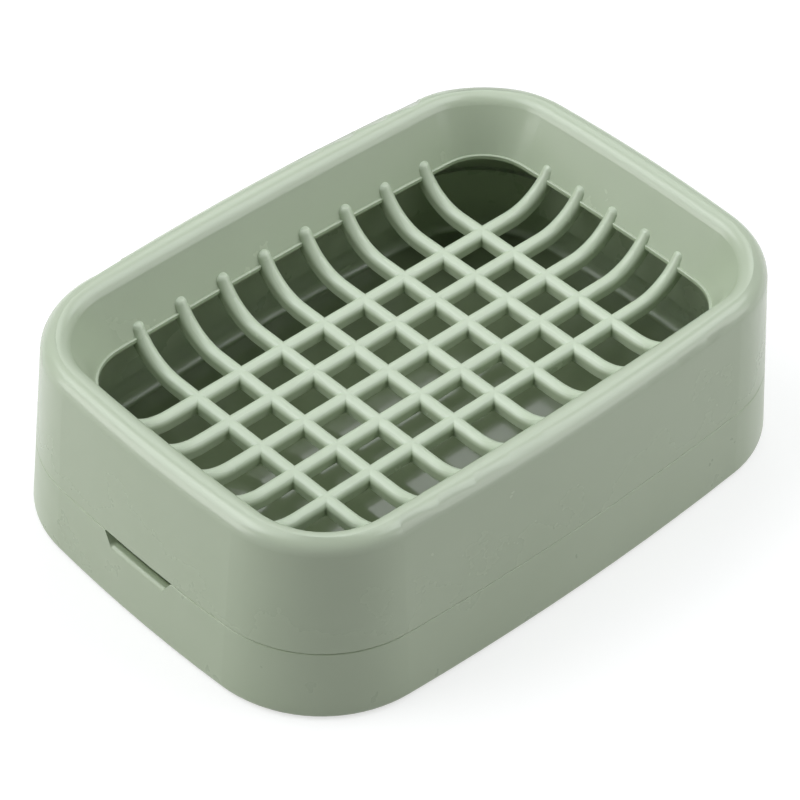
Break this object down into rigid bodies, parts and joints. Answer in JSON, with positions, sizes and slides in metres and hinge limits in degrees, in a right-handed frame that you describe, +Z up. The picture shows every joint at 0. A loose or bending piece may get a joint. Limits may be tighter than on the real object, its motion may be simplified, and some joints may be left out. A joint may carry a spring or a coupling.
{
  "type": "draining soap box",
  "caption": "Rounded rectangular plastic soap box: a drain frame with a sunken rib grid for the soap lifts off a drip tray with a finger notch.",
  "frame": {"origin": "middle of the drip tray's flat underside", "axes": "+X along the box away from the finger notch, +Y across it, +Z up"},
  "size_m": [0.1288, 0.0926, 0.0382],
  "materials": {
    "tray_plastic": "satin moulded, sage green",
    "frame_plastic": "satin moulded, sage green, smoother on the rim and collar",
    "grid_plastic": "smooth moulded, sage green"
  },
  "bodies": {
    "tray_body": {"drip_tray": "tray_plastic"},
    "frame_body": {"drain_frame": "frame_plastic", "soap_grid": "grid_plastic"}
  },
  "joints": [
    {"name": "frame_lift", "type": "slide", "parent": "tray_body", "child": "frame_body", "axis": [0, 0, 1], "range_m": [0, 0.04]}
  ]
}
